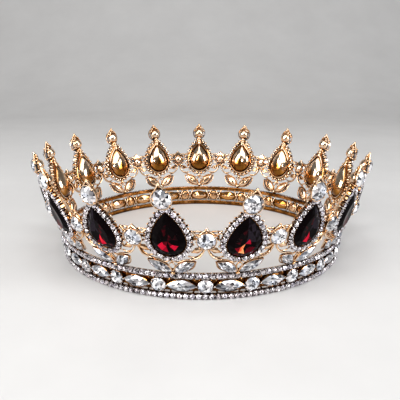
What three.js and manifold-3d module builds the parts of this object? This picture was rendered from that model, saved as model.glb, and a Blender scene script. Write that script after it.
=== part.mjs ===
// Round costume crown: two jewelled rails with a row of settings between them,
// seventeen flared spires that each carry a pear stone, and a link between each pair of spires.
// Millimetres, +Z up. The origin is the centre of the base circle, on the plane the crown rests on.
import * as THREE from 'three';
import { mergeVertices } from 'three/addons/utils/BufferGeometryUtils.js';
import Module from 'manifold-3d';

const wasm = await Module();
wasm.setup();

// ---------------------------------------------------------------- driving dimensions
const SPIRES = 17;                 // spires round the crown, one of them on +Y
const PITCH = (2 * Math.PI) / SPIRES;
const BAND_PAIRS = 23;             // round + marquise pairs in the middle row of the band
const SEG = 51;                    // facets of a rail

// band, as radius ranges and heights; the finished band is slightly oval, wider from side to side
const OVAL = { x: 1.022, y: 0.995 };
const LOWER_RAIL = { r0: 65.9, r1: 66.7, z0: 0.0, z1: 2.4 };
const LOWER_CHAIN = { r0: 67.0, r1: 68.1, z0: 0.05, z1: 2.45 };
const UPPER_RAIL = { r0: 66.7, r1: 67.5, z0: 9.25, z1: 11.4 };
const UPPER_CHAIN = { r0: 67.8, r1: 69.0, z0: 9.15, z1: 11.5 };
const GALLERY = { r0: 66.2, r1: 66.9, zc: 5.83 };
const BAND_STONES = { r0: 67.2, r1: 69.1, zc: 5.83 };
const BAND_MARQUISE = { half: 5.9, high: 2.55 };    // half length and half height
const BAND_ROUND = { half: 3.1, high: 2.85 };
const BAND_NECK = 0.5;                             // half height where two stones meet

// wall above the band: two conical stages
const LEAF_STAGE = { r: 67.9, z: 11.45, tilt: 26.6 };    // from the top of the band
const UPPER_STAGE = { r: 71.6, z: 19.55, tilt: 15.6 };   // from the leaf tips to the finial

// pear setting, in the plane of the upper stage (s runs up the wall)
const PEAR = { r: 6.6, foot: 7.2, s0: 1.5, s1: 20.8 };   // the red stone; foot is the depth of its rounded end
const HALO = { r: 9.1, foot: 9.7, s0: -1.1, s1: 22.8 };  // outer edge of the ring of small stones
const PEAR_DOME = { r: 5.7, foot: 6.0, s0: 2.2, s1: 18.6 };  // the domed back of the cup
const HALO_BACK = -1.3, HALO_FRONT = 1.3;                // depth of the cup, outwards positive
const POCKET_FLOOR = 0.0, PEAR_FRONT = 2.2;
const GAP = 0.3;

const NECK = { w: 3.4, s0: 20.2, s1: 24.0 };
const TOP_CUP = { s: 25.9, rBack: 3.0, rFront: 3.2 };
const TOP_STONE = { rGirdle: 3.55, rTable: 2.1 };
const FINIAL = { w: 2.2, s0: 27.4, s1: 31.3, ball: 0.9, sBall: 31.5 };

const LEAF = { long: 11.7, wide: 5.1, rise: 36.5, x: -0.45, s: 1.0 };  // marquise of the V pair
const STEM = { w: 2.4, s0: -6.4, s1: -0.4 };                         // from the V up to the halo

const LINK_S = 8.8;                                // height of the link stone on the upper stage
const LINK_STONE = { rGirdle: 3.65, rTable: 2.2 };
const LINK_CUP = { rBack: 2.6, rFront: 3.3 };
const LINK_TIP_S = 13.6;
const LINK_OUT = 0.9;                              // links stand a little proud of the halos
const ARM = { wire: 0.9, depth: 1.2 };             // swept arms under the link stone

// ---------------------------------------------------------------- materials
const gold = new THREE.MeshStandardMaterial({ color: 0xd9a066, roughness: 0.22, metalness: 1.0 });
const rail = new THREE.MeshStandardMaterial({ color: 0xcf935a, roughness: 0.26, metalness: 1.0 });
const clear = new THREE.MeshStandardMaterial({ color: 0xe9ebf2, roughness: 0.05, metalness: 0.1 });
const ruby = new THREE.MeshStandardMaterial({ color: 0x5c0410, roughness: 0.04, metalness: 0.1 });

// ---------------------------------------------------------------- helpers
const rad = THREE.MathUtils.degToRad;

function closed(geometry) {
  const g = geometry.clone();
  g.deleteAttribute('normal');
  g.deleteAttribute('uv');
  g.clearGroups();
  return mergeVertices(g, 1e-4);
}

function solid(geometry) {
  const g = closed(geometry);
  return new wasm.Manifold(new wasm.Mesh({
    numProp: 3,
    vertProperties: new Float32Array(g.attributes.position.array),
    triVerts: new Uint32Array(g.index.array),
  }));
}

function geometryOf(manifold) {
  const m = manifold.getMesh();
  const g = new THREE.BufferGeometry();
  const p = new Float32Array(m.numVert * 3);
  for (let i = 0; i < m.numVert; i++)
    for (let k = 0; k < 3; k++) p[3 * i + k] = m.vertProperties[i * m.numProp + k];
  g.setAttribute('position', new THREE.BufferAttribute(p, 3));
  g.setIndex(new THREE.BufferAttribute(new Uint32Array(m.triVerts), 1));
  g.computeVertexNormals();
  return g;
}

// a shape drawn in x (across) and s (up the wall), extruded outwards from depth n0 to n1
function slab(shape, n0, n1, curveSegments = 6) {
  return new THREE.ExtrudeGeometry(shape, { depth: n1 - n0, bevelEnabled: false, curveSegments })
    .translate(0, 0, n0);
}

// puts a piece drawn in (x, s, n) on the wall stage, facing -Y, leaning outwards
function onStage(geometry, stage) {
  return geometry
    .applyMatrix4(new THREE.Matrix4().makeRotationX(Math.PI / 2 + rad(stage.tilt)))
    .applyMatrix4(new THREE.Matrix4().makeTranslation(0, -stage.r, stage.z));
}

function pearShape({ r, foot, s0, s1 }, arc = 6, side = 2) {
  const c = s0 + foot, pts = [];
  for (let i = 0; i <= arc; i++) {
    const a = Math.PI * (1 + i / arc);
    pts.push(new THREE.Vector2(r * Math.cos(a), c + foot * Math.sin(a)));
  }
  const h = s1 - c;
  const flank = new THREE.QuadraticBezierCurve(
    new THREE.Vector2(r, c), new THREE.Vector2(r * 0.86, c + 0.56 * h), new THREE.Vector2(0, s1));
  const up = flank.getPoints(side);
  for (let i = 1; i < up.length; i++) pts.push(up[i]);
  for (let i = up.length - 2; i > 0; i--) pts.push(new THREE.Vector2(-up[i].x, up[i].y));
  return new THREE.Shape(pts);
}

function marquiseShape(long, wide, n = 3) {
  const pts = [], half = long / 2;
  for (let i = 0; i < n; i++) {
    const t = -1 + (2 * i) / n;
    pts.push(new THREE.Vector2(half * t, -(wide / 2) * (1 - t * t)));
  }
  for (let i = 0; i < n; i++) {
    const t = 1 - (2 * i) / n;
    pts.push(new THREE.Vector2(half * t, (wide / 2) * (1 - t * t)));
  }
  return new THREE.Shape(pts);
}

// a turned stone or cup whose axis points outwards: profile is a list of [radius, depth]
function turned(profile, x, s, sides = 7) {
  return new THREE.LatheGeometry(profile.map(([r, n]) => new THREE.Vector2(r, n)), sides)
    .rotateX(Math.PI / 2)
    .translate(x, s, 0);
}

function union(list) {
  return list.map(solid).reduce((a, b) => a.add(b));
}

// a ring whose section is a rectangle
function ring({ r0, r1, z0, z1 }, segments) {
  const section = [[r0, z0], [r1, z0], [r1, z1], [r0, z1], [r0, z0]];
  return new THREE.LatheGeometry(section.map(([r, z]) => new THREE.Vector2(r, z)), segments)
    .rotateX(Math.PI / 2);
}

// a ring whose height follows the stones of the middle row: marquise, round, marquise ...
function stoneRow({ r0, r1, zc }, scale, frontScale) {
  const stations = [];
  const pair = (2 * Math.PI) / BAND_PAIRS;
  const roundA = pair * BAND_ROUND.half / (BAND_ROUND.half + BAND_MARQUISE.half);
  for (let i = 0; i < BAND_PAIRS; i++) {
    const a0 = i * pair - roundA / 2;
    for (const t of [-1, -0.5, 0.5])
      stations.push([a0 + roundA * (t + 1) / 2, Math.max(BAND_NECK, BAND_ROUND.high * Math.sqrt(1.15 - t * t))]);
    for (const t of [-1, -0.45, 0.45])
      stations.push([a0 + roundA + (pair - roundA) * (t + 1) / 2, Math.max(BAND_NECK, BAND_MARQUISE.high * (1.18 - t * t))]);
  }
  const n = stations.length;
  const corners = 4;
  const g = new THREE.LatheGeometry(
    [[r0, -1], [r1, -1], [r1, 1], [r0, 1], [r0, -1]].map(([r, z]) => new THREE.Vector2(r, z)), n);
  const p = g.attributes.position;
  for (let i = 0; i <= n; i++) {
    const [a, h] = stations[i % n];
    for (let j = 0; j <= corners; j++) {
      const k = i * (corners + 1) + j;
      const radius = j === 1 || j === 2 ? r1 : r0;
      const front = j === 1 || j === 2 ? frontScale : 1;
      const side = j === 0 || j === 1 || j === 4 ? -1 : 1;
      // the row starts with a round stone on the -Y side and again on +Y
      p.setXYZ(k, radius * Math.sin(a), zc + side * h * scale * front, radius * Math.cos(a));
    }
  }
  return g.rotateX(Math.PI / 2);
}

// ---------------------------------------------------------------- one spire casting
function spireSolid() {
  const up = (g) => onStage(g, UPPER_STAGE);
  const leaf = (g) => onStage(g, LEAF_STAGE);

  const cup = solid(up(slab(pearShape(HALO), HALO_BACK, HALO_FRONT)))
    .subtract(solid(up(slab(pearShape({ r: PEAR.r + GAP, foot: PEAR.foot + GAP, s0: PEAR.s0 - GAP, s1: PEAR.s1 + 1.6 * GAP }), POCKET_FLOOR, HALO_FRONT + 1))));
  const dome = up(new THREE.ExtrudeGeometry(pearShape({ r: PEAR_DOME.r - 1.6, foot: PEAR_DOME.foot - 1.6, s0: PEAR_DOME.s0 + 1.6, s1: PEAR_DOME.s1 - 3.4 }, 4, 1),
    { depth: 1.0, bevelEnabled: true, bevelThickness: 1.5, bevelSize: 1.6, bevelSegments: 1 }).translate(0, 0, HALO_BACK - 0.9));
  const neck = up(new THREE.BoxGeometry(NECK.w, NECK.s1 - NECK.s0, 1.9).translate(0, (NECK.s0 + NECK.s1) / 2, -0.3));
  const top = up(turned([[0, -1.8], [TOP_CUP.rBack, -1.4], [TOP_STONE.rGirdle, 0.8], [TOP_STONE.rTable, 2.4], [0, 2.4]], 0, TOP_CUP.s));
  const finialShape = new THREE.Shape([
    new THREE.Vector2(-FINIAL.w, FINIAL.s0), new THREE.Vector2(FINIAL.w, FINIAL.s0),
    new THREE.Vector2(0.45, FINIAL.s1), new THREE.Vector2(-0.45, FINIAL.s1)]);
  const finial = up(slab(finialShape, -1.1, 0.2));
  const ball = up(new THREE.SphereGeometry(FINIAL.ball, 5, 3).translate(0, FINIAL.sBall, -0.4));
  const stem = up(new THREE.BoxGeometry(STEM.w, STEM.s1 - STEM.s0, 1.3).translate(0, (STEM.s0 + STEM.s1) / 2, 0.1));

  const leaves = [-1, 1].map((side) => {
    return leaf(slab(marquiseShape(LEAF.long, LEAF.wide), -1.2, 0.9)
      .translate(side * LEAF.long / 2, 0, 0)
      .rotateZ(side * rad(LEAF.rise))
      .translate(side * LEAF.x, LEAF.s, 0));
  });

  return union([neck, top, finial, ball, dome, stem, ...leaves]).add(cup);
}

function rubySolid() {
  const inner = { r: PEAR.r - 2.2, foot: PEAR.foot - 2.2, s0: PEAR.s0 + 2.2, s1: PEAR.s1 - 4.6 };
  return solid(onStage(new THREE.ExtrudeGeometry(pearShape(inner, 4, 2),
    { depth: 0.01, bevelEnabled: true, bevelThickness: (PEAR_FRONT - POCKET_FLOOR - GAP) / 2, bevelSize: 2.2, bevelSegments: 1 })
    .translate(0, 0, POCKET_FLOOR + GAP + (PEAR_FRONT - POCKET_FLOOR - GAP) / 2), UPPER_STAGE));
}

// ---------------------------------------------------------------- one link between two spires
function linkSolid() {
  const stage = { ...UPPER_STAGE, r: UPPER_STAGE.r + LINK_OUT };
  const up = (g) => onStage(g, stage);
  const stone = up(turned([[0, -1.9], [LINK_CUP.rBack, -1.6], [LINK_STONE.rGirdle, 0.9], [LINK_STONE.rTable, 2.3], [0, 2.3]], 0, LINK_S, 8));
  const tip = up(slab(new THREE.Shape([
    new THREE.Vector2(-2.6, LINK_S + 1.4), new THREE.Vector2(2.6, LINK_S + 1.4),
    new THREE.Vector2(0.4, LINK_TIP_S), new THREE.Vector2(-0.4, LINK_TIP_S)]), -0.8, 0.5));
  const sweep = [[0, 5.6], [1.2, 2.7], [3.2, 0.6], [6.2, 0.1]];
  const outline = [...sweep.map(([x, y]) => [x + 0.1, y + ARM.wire]), ...sweep.slice(1).reverse().map(([x, y]) => [x, y - 0.1]),
    ...sweep.slice(1).map(([x, y]) => [-x, y - 0.1]), ...sweep.slice(1).reverse().map(([x, y]) => [-x - 0.1, y + ARM.wire])];
  const arms = up(slab(new THREE.Shape(outline.map(([x, y]) => new THREE.Vector2(x, y))), -0.8, -0.8 + ARM.depth));
  return union([stone, tip, arms]);
}

// ---------------------------------------------------------------- assembly
const crown = new THREE.Group();

function piece(name, geometry, material, parent = crown) {
  const mesh = new THREE.Mesh(geometry, material);
  mesh.name = name;
  parent.add(mesh);
  return mesh;
}

const bandPiece = (name, geometry, material) => piece(name, geometry.scale(OVAL.x, OVAL.y, 1), material);
bandPiece('lower_rail', ring(LOWER_RAIL, SEG), rail);
bandPiece('lower_rhinestone_chain', ring(LOWER_CHAIN, SEG), clear);
bandPiece('upper_rail', ring(UPPER_RAIL, SEG), rail);
bandPiece('upper_rhinestone_chain', ring(UPPER_CHAIN, SEG), clear);
bandPiece('band_gallery', stoneRow(GALLERY, 1.0, 1.0), gold);
bandPiece('band_crystal_row', stoneRow(BAND_STONES, 0.98, 0.86), clear);

const spire = geometryOf(spireSolid());
const pear = geometryOf(rubySolid());
const link = geometryOf(linkSolid());
for (let k = 0; k < SPIRES; k++) {
  const id = String(k + 1).padStart(2, '0');
  const station = new THREE.Group();
  station.rotation.z = Math.PI - k * PITCH;      // spire 01 is on +Y, counting towards +X
  crown.add(station);
  piece(`spire_${id}`, spire, gold, station);
  piece(`ruby_${id}`, pear, ruby, station);
  const between = new THREE.Group();
  between.rotation.z = Math.PI - (k + 0.5) * PITCH;
  crown.add(between);
  piece(`link_${id}`, link, gold, between);
}

export default crown;
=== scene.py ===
"""A round gilt costume crown with ruby pear stones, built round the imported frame. Blender 4.5, metres, +Z up."""
import bpy
import math
import numpy as np
from mathutils import Matrix, Vector


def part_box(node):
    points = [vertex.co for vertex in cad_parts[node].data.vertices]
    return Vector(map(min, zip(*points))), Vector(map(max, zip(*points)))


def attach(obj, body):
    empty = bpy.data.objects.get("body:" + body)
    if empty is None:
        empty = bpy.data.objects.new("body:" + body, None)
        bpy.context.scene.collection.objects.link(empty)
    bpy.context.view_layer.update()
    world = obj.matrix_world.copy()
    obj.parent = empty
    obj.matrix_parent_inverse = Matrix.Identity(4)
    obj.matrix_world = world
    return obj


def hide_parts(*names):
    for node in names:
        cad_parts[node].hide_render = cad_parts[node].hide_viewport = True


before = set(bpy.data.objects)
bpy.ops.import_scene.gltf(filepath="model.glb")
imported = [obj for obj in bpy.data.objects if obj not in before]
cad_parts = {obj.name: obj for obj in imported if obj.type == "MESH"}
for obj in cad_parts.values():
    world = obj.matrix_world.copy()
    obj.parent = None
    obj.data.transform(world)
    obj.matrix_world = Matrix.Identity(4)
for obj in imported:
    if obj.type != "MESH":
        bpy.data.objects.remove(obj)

MM = 0.001
N_SPIRES = 17
PITCH = 2 * math.pi / N_SPIRES
N_PAIRS = 23

# ------------------------------------------------------------------ where the frame puts things
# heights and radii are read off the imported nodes, so that every piece sits on its CAD solid
def mm(v):
    return [c / MM for c in v]


lo_rail = [mm(c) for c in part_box("lower_rail")]
up_rail = [mm(c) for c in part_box("upper_rail")]
lo_chain = [mm(c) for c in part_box("lower_rhinestone_chain")]
up_chain = [mm(c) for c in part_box("upper_rhinestone_chain")]
stone_row = [mm(c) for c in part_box("band_crystal_row")]
Z_LO = (lo_rail[0][2], lo_rail[1][2])
Z_UP = (up_rail[0][2], up_rail[1][2])
# the band is slightly oval: it is laid out on a circle and then stretched
OVAL_X, OVAL_Y = 1.022, 0.995
R_LO_OUT = -lo_chain[0][1] / OVAL_Y     # outer radius of the lower row of stones before the stretch
R_UP_OUT = -up_chain[0][1] / OVAL_Y
Z_ROW = 0.5 * (stone_row[0][2] + stone_row[1][2])
R_ROW_OUT = -stone_row[0][1] / OVAL_Y
OVAL = Matrix.Diagonal((OVAL_X, OVAL_Y, 1, 1))

LEAF_STAGE = (67.9, Z_UP[1] + 0.05, 26.6)
UPPER_STAGE = (71.6, Z_UP[1] + 8.15, 15.6)
LINK_OUT = 0.9


def stage_matrix(stage, lift=0.0):
    r, z, tilt = stage
    t = Matrix.Translation((0, -(r + lift), z))
    return t @ Matrix.Rotation(math.pi / 2 + math.radians(tilt), 4, "X")


# a worn crown: some spires lean further out or sideways, and some necks are bent (degrees)
LEAN_OUT = {8: 5.8, 10: 4.6, 11: 3.8, 3: 1.5, 15: 1.8}
LEAN_SIDE = {9: 1.1, 1: 0.9, 4: -0.8, 13: 1.0}
NECK_BEND = {9: 10.0, 8: -10.0, 2: 3.0, 6: -3.0, 12: 3.5, 16: -4.0}


def spin(k):
    """Rotation that takes the -Y station to station k, counted from +Y towards +X."""
    return Matrix.Rotation(math.pi - k * PITCH, 4, "Z")


# ------------------------------------------------------------------ mesh store
class Soup:
    def __init__(self):
        self.v, self.f, self.tone, self.mat, self.smooth = [], [], [], [], []
        self.n = 0

    def add(self, verts, faces, M=None, tone=1.0, mat=0, smooth=False):
        v = np.asarray(verts, float).reshape(-1, 3)
        if callable(tone):
            cs = [v[f].mean(0) for f in faces]
            ns = [np.cross(v[f[1]] - v[f[0]], v[f[2]] - v[f[1]]) for f in faces]
            tone = [tone(c, q / max(np.linalg.norm(q), 1e-9)) for c, q in zip(cs, ns)]
        if M is not None:
            m = np.array(M)
            v = v @ m[:3, :3].T + m[:3, 3]
        self.v.append(v)
        n = self.n
        for i, f in enumerate(faces):
            self.f.append([n + j for j in f])
            self.tone.append(tone[i] if not np.isscalar(tone) else tone)
            self.mat.append(mat)
            self.smooth.append(smooth)
        self.n += len(v)

    def build(self, name, materials, smooth_angle=None):
        me = bpy.data.meshes.new(name)
        v = np.vstack(self.v) * MM
        me.from_pydata(v.tolist(), [], self.f)
        me.polygons.foreach_set("material_index", self.mat)
        me.polygons.foreach_set("use_smooth", self.smooth)
        at = me.attributes.new("tone", "FLOAT", "FACE")
        at.data.foreach_set("value", np.asarray(self.tone, np.float32))
        for m in materials:
            me.materials.append(m)
        me.validate()
        me.update()
        ob = bpy.data.objects.new(name, me)
        bpy.context.scene.collection.objects.link(ob)
        return ob


# ------------------------------------------------------------------ outlines, in millimetres
def resample(P, n, shift=0.0, closed=True):
    P = np.asarray(P, float)
    Q = np.vstack([P, P[:1]]) if closed else P
    d = np.r_[0, np.cumsum(np.linalg.norm(np.diff(Q, axis=0), axis=1))]
    t = (np.arange(n) + shift) / n * d[-1] if closed else np.linspace(0, d[-1], n)
    t = np.mod(t, d[-1]) if closed else t
    return np.stack([np.interp(t, d, Q[:, i]) for i in range(Q.shape[1])], 1)


def pear(r, foot, s0, s1, n=96, shift=0.0):
    """Pear outline with its point up, starting at the point, counter-clockwise."""
    c, h = s0 + foot, s1 - s0 - foot
    t = np.linspace(0, 1, 40)
    left = np.stack([-(2 * t * (1 - t) * 0.86 * r + t * t * r), (1 - t) ** 2 * s1 + 2 * t * (1 - t) * (c + 0.56 * h) + t * t * c], 1)
    a = np.linspace(math.pi, 2 * math.pi, 60)[1:-1]
    foot_pts = np.stack([r * np.cos(a), c + foot * np.sin(a)], 1)
    right = left[::-1][:-1] * [-1, 1]
    return resample(np.vstack([left, foot_pts, right]), n, shift)


def marquise(L, W, n=48, shift=0.0, blunt=0.06):
    """Marquise outline along x, starting at the +x tip, counter-clockwise."""
    t = np.linspace(1, -1, 60)
    y = W / 2 * (1 - np.abs(t) ** 1.9)
    top = np.stack([L / 2 * t, y], 1)
    bot = np.stack([-L / 2 * t, -y], 1)
    return resample(np.vstack([top[:-1], bot[:-1]]), n, shift)


def circle(r, n=32, shift=0.0):
    a = 2 * math.pi * (np.arange(n) + shift) / n
    return np.stack([r * np.cos(a), r * np.sin(a)], 1)


def normals2(P):
    d = np.roll(P, -1, 0) - np.roll(P, 1, 0)
    nrm = np.stack([d[:, 1], -d[:, 0]], 1)
    return nrm / np.maximum(np.linalg.norm(nrm, axis=1, keepdims=True), 1e-9)


# ------------------------------------------------------------------ solids from outlines
def skin(rings, closed_section=False):
    """Closed loops joined one to the next: faces only."""
    n = len(rings[0])
    faces = []
    m = len(rings)
    for j in range(m if closed_section else m - 1):
        a, b = j * n, ((j + 1) % m) * n
        for i in range(n):
            k = (i + 1) % n
            faces.append([a + i, a + k, b + k, b + i])
    return np.vstack(rings), faces


def collar(P, section):
    """A closed collar that follows outline P. section: list of (outward offset, depth), counter-clockwise seen along the outline."""
    N = normals2(P)
    rings = [np.c_[P + N * o, np.full(len(P), d)] for o, d in section]
    return skin(rings, True)


def pillow(P, centre, levels, cap=True):
    """A closed body from scaled copies of an outline: levels are (scale, depth), from back to front."""
    c = np.asarray(centre, float)
    rings = [np.c_[c + (P - c) * s, np.full(len(P), d)] for s, d in levels]
    v, f = skin(rings)
    n = len(P)
    # caps
    f.append(list(range(n))[::-1])
    last = (len(levels) - 1) * n
    f.append([last + i for i in range(n)])
    return v, f


def lathe(profile, sides, shift=0.0):
    """Turned body about the depth axis. profile: (radius, depth), first and last on the axis."""
    rings, verts, faces = [], [], []
    a = 2 * math.pi * (np.arange(sides) + shift) / sides
    verts.append([0, 0, profile[0][1]])
    for r, d in profile[1:-1]:
        rings.append(len(verts))
        verts += [[r * math.cos(x), r * math.sin(x), d] for x in a]
    verts.append([0, 0, profile[-1][1]])
    last = len(verts) - 1
    for i in range(sides):
        k = (i + 1) % sides
        faces.append([0, rings[0] + k, rings[0] + i])
        for p, q in zip(rings, rings[1:]):
            faces.append([p + i, p + k, q + k, q + i])
        faces.append([rings[-1] + i, rings[-1] + k, last])
    return np.array(verts), faces


def ball(r, centre=(0, 0, 0), squash=(1, 1, 1), sides=8, rows=5):
    prof = [(0, -r)] + [(r * math.sin(math.pi * j / rows), -r * math.cos(math.pi * j / rows)) for j in range(1, rows)] + [(0, r)]
    v, f = lathe(prof, sides)
    return v * squash + np.asarray(centre, float), f


def wire(points, radius, sides=7, flat=1.0, taper=None):
    """A round wire along 3-D points, closed with domed ends. radius may be one number or one per point."""
    P = np.asarray(points, float)
    R = np.full(len(P), radius) if np.isscalar(radius) else np.asarray(radius, float)
    T = np.gradient(P, axis=0)
    T /= np.maximum(np.linalg.norm(T, axis=1, keepdims=True), 1e-9)
    up = np.array([0, 0, 1.0]) if abs(T[0][2]) < 0.9 else np.array([1.0, 0, 0])
    verts, faces = [], []
    a = 2 * math.pi * np.arange(sides) / sides
    u = up
    for p, t, r in zip(P, T, R):
        u = u - t * (u @ t)
        u /= max(np.linalg.norm(u), 1e-9)
        w = np.cross(t, u)
        for x in a:
            verts.append(p + r * (math.cos(x) * u * flat + math.sin(x) * w))
    n = len(P)
    for j in range(n - 1):
        for i in range(sides):
            k = (i + 1) % sides
            faces.append([j * sides + i, j * sides + k, (j + 1) * sides + k, (j + 1) * sides + i])
    verts.append(P[0] - T[0] * R[0] * 0.6)
    verts.append(P[-1] + T[-1] * R[-1] * 0.6)
    for i in range(sides):
        k = (i + 1) % sides
        faces.append([n * sides, k, i])
        faces.append([n * sides + 1, (n - 1) * sides + i, (n - 1) * sides + k])
    return np.array(verts), faces


def smooth_path(points, n):
    """Catmull-Rom through the points."""
    P = np.asarray(points, float)
    Q = np.vstack([2 * P[0] - P[1], P, 2 * P[-1] - P[-2]])
    out = []
    seg = len(P) - 1
    for t in np.linspace(0, seg - 1e-9, n):
        i = int(t); u = t - i
        a, b, c, d = Q[i], Q[i + 1], Q[i + 2], Q[i + 3]
        out.append(0.5 * (2 * b + (c - a) * u + (2 * a - 5 * b + 4 * c - d) * u * u + (3 * b - 3 * c + d - a) * u ** 3))
    return np.array(out)


# ------------------------------------------------------------------ cut stones
def brilliant(outline, m, centre, back, girdle, table, s_table, s_mid, rng, spread=None, s_in=0.42, dip=0.16, s_back=0.35, twist=0.0):
    """A closed cut stone. outline(n) gives n girdle points in order, with the first on a main facet.
    m main facets: table, stars, kites and upper-girdle facets on top, and inside the table the pattern of the facets
    below it.
    Returns vertices, faces and one tone for each face: the facet's painted reflection brightness."""
    c = np.asarray(centre, float)
    G2 = outline(2 * m)
    G = np.c_[G2, np.full(2 * m, girdle)]
    G_low = np.c_[c + (G2 - c) * 0.985, np.full(2 * m, girdle - 0.07 * (table - back))]
    T = np.c_[c + (G2[0::2] - c) * s_table, np.full(m, table)]
    Mid = np.c_[c + (G2[1::2] - c) * s_mid, np.full(m, girdle + 0.62 * (table - girdle))]
    I = np.c_[c + (G2[1::2] - c) * s_table * s_in, np.full(m, table - dip)]
    C = np.r_[c, table - 1.6 * dip][None]
    B = np.c_[c + (G2[0::2] - c) * s_back, np.full(m, back)]
    V = np.vstack([G, G_low, T, Mid, I, C, B])
    g, gl, t, md, inn, ce, b = 0, 2 * m, 4 * m, 5 * m, 6 * m, 7 * m, 7 * m + 1
    F, K = [], []
    for j in range(m):
        k = (j + 1) % m
        g0, g1, g2 = g + 2 * j, g + 2 * j + 1, g + (2 * j + 2) % (2 * m)
        F.append([t + j, md + j, t + k]); K.append("star")
        F.append([g0, md + j, t + j]); K.append("kite_a")
        F.append([g2, t + k, md + j]); K.append("kite_b")
        F.append([g0, g1, md + j]); K.append("girdle")
        F.append([g1, g2, md + j]); K.append("girdle")
        F.append([t + j, t + k, inn + j]); K.append("pav")
        F.append([inn + j, t + k, inn + k]); K.append("pav2")
        F.append([inn + j, inn + k, ce]); K.append("core")
        l0, l1, l2 = gl + 2 * j, gl + 2 * j + 1, gl + (2 * j + 2) % (2 * m)
        F.append([l0, l1, g1, g0]); K.append("edge")
        F.append([l1, l2, g2, g1]); K.append("edge")
        F.append([l1, l0, b + j]); K.append("under")
        F.append([l2, l1, b + k]); K.append("under")
        F.append([l1, b + j, b + k]); K.append("under")
    F.append([b + j for j in range(m)][::-1]); K.append("under")
    if twist:
        pass
    tone = spread(K, V, F, rng) if spread else np.full(len(F), 0.6)
    return V, F, tone


# painted reflections: every facet gets a fixed bright, grey or near-black tone that stands in for the glints and dark
# reflections of a cut crystal
def clear_tones(K, V, F, rng):
    out = []
    for k in K:
        if k in ("edge",):
            out.append(rng.uniform(0.55, 0.9))
        elif k in ("girdle",):
            out.append(rng.choice([rng.uniform(0.75, 1.0), rng.uniform(0.35, 0.6), rng.uniform(0.1, 0.25)], p=[0.55, 0.3, 0.15]))
        elif k in ("core", "pav2"):
            out.append(rng.choice([rng.uniform(0.8, 1.0), rng.uniform(0.4, 0.65), rng.uniform(0.02, 0.2)], p=[0.38, 0.27, 0.35]))
        elif k == "under":
            out.append(rng.uniform(0.45, 0.85))
        else:
            out.append(rng.choice([rng.uniform(0.8, 1.0), rng.uniform(0.45, 0.7), rng.uniform(0.05, 0.22)], p=[0.46, 0.30, 0.24]))
    return np.array(out)


def long_tones(K, V, F, rng):
    """Marquises: painted reflections in long grey and white facets side by side."""
    out = []
    for k, f in zip(K, F):
        if k in ("edge", "under"):
            out.append(rng.uniform(0.45, 0.8))
        elif k in ("core", "pav2", "pav"):
            out.append(rng.choice([rng.uniform(0.75, 1.0), rng.uniform(0.38, 0.55), rng.uniform(0.05, 0.25)], p=[0.24, 0.42, 0.34]))
        else:
            out.append(rng.choice([rng.uniform(0.75, 0.98), rng.uniform(0.40, 0.6), rng.uniform(0.12, 0.28)], p=[0.32, 0.42, 0.26]))
    return np.array(out)


# painted reflections, as above, with a random shift for each stone
def small_tones(K, V, F, rng):
    base = rng.uniform(-0.12, 0.12)
    out = []
    for k in K:
        if k in ("pav", "pav2", "core"):
            out.append(np.clip(rng.choice([rng.uniform(0.8, 1.0), rng.uniform(0.35, 0.6), rng.uniform(0.0, 0.2)], p=[0.40, 0.22, 0.38]) + base, 0, 1))
        else:
            out.append(np.clip(rng.choice([rng.uniform(0.75, 1.0), rng.uniform(0.3, 0.6), rng.uniform(0.0, 0.2)], p=[0.46, 0.28, 0.26]) + base, 0, 1))
    return np.array(out)


def ruby_tones(K, V, F, rng, mode=None, flip=None):
    """Painted flashes: nearly black, with saturated red painted internal reflections low in the stone, in wedges that
    meet at the culet.
    """
    out = []
    mode = int(rng.integers(0, 3)) if mode is None else mode
    flip = rng.choice([-1, 1]) if flip is None else flip
    for k, f in zip(K, F):
        c = V[f].mean(0)
        x, y = c[0] * flip, c[1] - 9.0
        ang = math.degrees(math.atan2(y, x)) % 360
        rad = math.hypot(c[0] / 4.2, y / 6.0)
        t = rng.uniform(0.0, 0.10)
        inner = k in ("pav", "pav2", "core")
        if inner:
            if mode == 0:      # two crimson patches, low left and low right, a darker one between them
                if 203 < ang < 243 or 290 < ang < 330:
                    t = rng.uniform(0.71, 0.79) if rad > 0.42 else rng.uniform(0.40, 0.52)
                elif 246 <= ang <= 285:
                    t = rng.uniform(0.50, 0.60) if rad > 0.55 else rng.uniform(0.02, 0.1)
            elif mode == 1:    # one hot streak and a spot beside it
                if 238 < ang < 268:
                    t = rng.uniform(0.92, 1.0) if rad > 0.25 else 0.72
                elif 205 < ang <= 238:
                    t = rng.uniform(0.55, 0.66) if rad > 0.3 else 0.08
                elif 282 < ang < 330 and rad > 0.4:
                    t = rng.uniform(0.44, 0.54)
                elif (ang > 350 or ang < 50) and 0.12 < rad < 0.52:
                    t = rng.uniform(0.64, 0.72)
            elif mode == 3:    # one narrow red wedge
                if 244 < ang < 276 and rad > 0.2:
                    t = rng.uniform(0.68, 0.78)
                elif 225 < ang <= 244 or 276 <= ang < 300:
                    t = rng.uniform(0.40, 0.52) if rad > 0.3 else rng.uniform(0.02, 0.1)
            elif mode == 4:    # a faint glow only
                if 225 < ang < 315 and rad > 0.25:
                    t = rng.uniform(0.40, 0.50)
            else:
                if 215 < ang < 325 and rng.uniform() < 0.55:
                    t = rng.uniform(0.5, 0.78)
            # painted grey reflections high on one side, and faint red painted glints in the upper half
            if mode in (1, 3) and y > 1.5 and 0.3 < x < 3.0:
                t = rng.uniform(0.19, 0.23)
            elif y > 0.5 and rng.uniform() < 0.2:
                t = rng.uniform(0.36, 0.41)
        elif k in ("kite_a", "kite_b"):
            if mode in (1, 3) and y > 1.5 and x > 0.4:
                t = rng.uniform(0.17, 0.22)
            elif y < -3 and rng.uniform() < 0.3:
                t = rng.uniform(0.38, 0.45)
        out.append(t)
    return np.array(out)


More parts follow.
